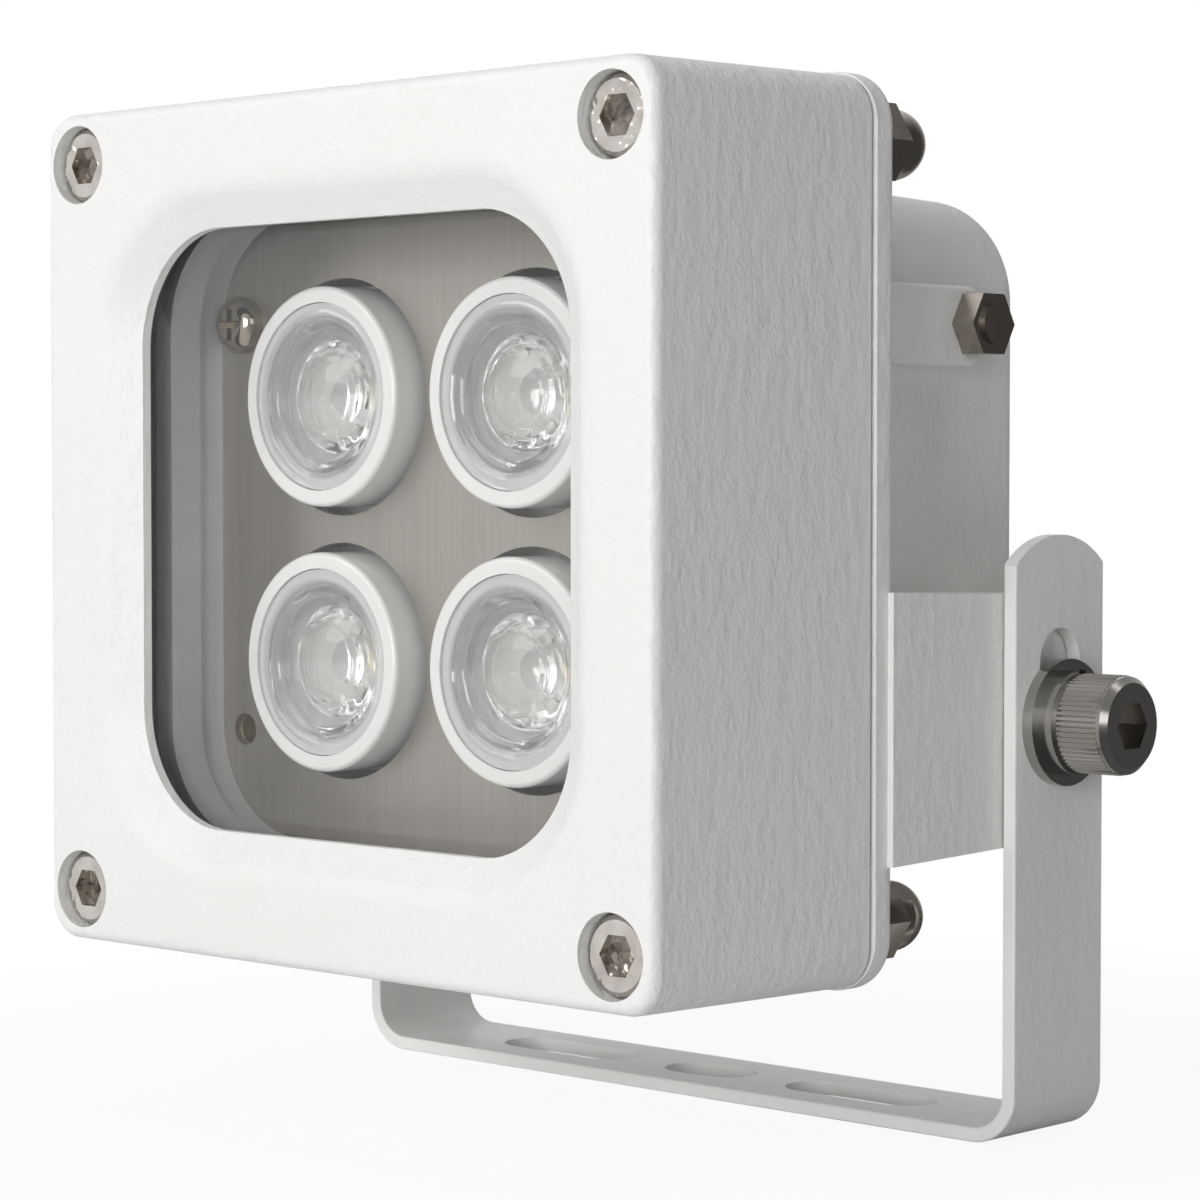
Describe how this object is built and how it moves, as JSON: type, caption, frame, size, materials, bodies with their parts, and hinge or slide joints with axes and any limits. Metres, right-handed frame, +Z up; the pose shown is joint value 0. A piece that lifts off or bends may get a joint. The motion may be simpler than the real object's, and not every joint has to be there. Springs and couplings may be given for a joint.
{
  "type": "white light illuminator",
  "caption": "Square white light illuminator for security cameras: a white cast head with lenses behind a bevelled window, tilting and height-adjustable on a slotted U bracket.",
  "frame": {"origin": "centre of the bracket's underside, at the middle of its centre slot", "axes": "+X to the right seen from the front, along the tilt axis; +Y to the rear, so the window looks along -Y at rest; +Z up, away from the surface the bracket is bolted to"},
  "size_m": [0.1468, 0.086, 0.1402],
  "materials": {
    "white_paint": "satin powder coat with a fine orange peel",
    "plated_steel": "bright zinc plate",
    "stainless_steel": "plain stainless",
    "black_rubber": "matt",
    "clear_glass": "clear toughened glass",
    "satin_aluminium": "satin",
    "brushed_plate": "brushed upright",
    "spacer_brass": "turned",
    "bright_screw": "polished",
    "emitter": "phosphor dome on a white base",
    "holder_white": "moulded gloss",
    "clear_lens": "clear moulded acrylic",
    "white_board": "white solder resist",
    "green_board": "green solder resist",
    "nickel_plated": "nickel plate",
    "terminal_plastic": "matt",
    "choke_core": "ferrite and tape",
    "capacitor_sleeve": "shrunk sleeve",
    "lead_red": "insulation",
    "lead_black": "insulation"
  },
  "bodies": {
    "bracket": {"u_bracket": "white_paint"},
    "clamp": {"flat_washer_right": "plated_steel", "spring_washer_right": "plated_steel", "clamp_screw_right": "plated_steel", "flat_washer_left": "plated_steel", "spring_washer_left": "plated_steel", "clamp_screw_left": "plated_steel"},
    "head": {"front_housing": "white_paint", "rear_cover": "white_paint", "board_screws": "plated_steel", "driver_screws": "plated_steel", "housing_screws": "stainless_steel", "nut_washers": "stainless_steel", "domed_nuts": "stainless_steel", "earth_bolt": "stainless_steel", "window_gasket": "black_rubber", "housing_seal": "black_rubber", "gland_seal": "black_rubber", "gland_bush": "black_rubber", "window_glass": "clear_glass", "glass_retainer": "satin_aluminium", "heat_spreader": "satin_aluminium", "mask_plate": "brushed_plate", "mask_pillars": "spacer_brass", "mask_screws": "bright_screw", "led_emitter_1": "emitter", "led_emitter_2": "emitter", "led_emitter_3": "emitter", "led_emitter_4": "emitter", "lens_holder_1": "holder_white", "lens_holder_2": "holder_white", "lens_holder_3": "holder_white", "lens_holder_4": "holder_white", "lens_1": "clear_lens", "lens_2": "clear_lens", "lens_3": "clear_lens", "lens_4": "clear_lens", "led_board": "white_board", "driver_board": "green_board", "gland_body": "nickel_plated", "gland_nut": "nickel_plated", "terminal_block": "terminal_plastic", "driver_choke": "choke_core", "driver_capacitors": "capacitor_sleeve", "lead_positive": "lead_red", "lead_negative": "lead_black"}
  },
  "joints": [
    {"name": "height_slide", "type": "slide", "parent": "bracket", "child": "clamp", "axis": [0, 0, 1], "range_m": [0, 0.008]},
    {"name": "head_tilt", "type": "hinge", "parent": "clamp", "child": "head", "pos_m": [0, 0, 0.056], "axis": [1, 0, 0], "range_deg": [-90, 40]}
  ]
}
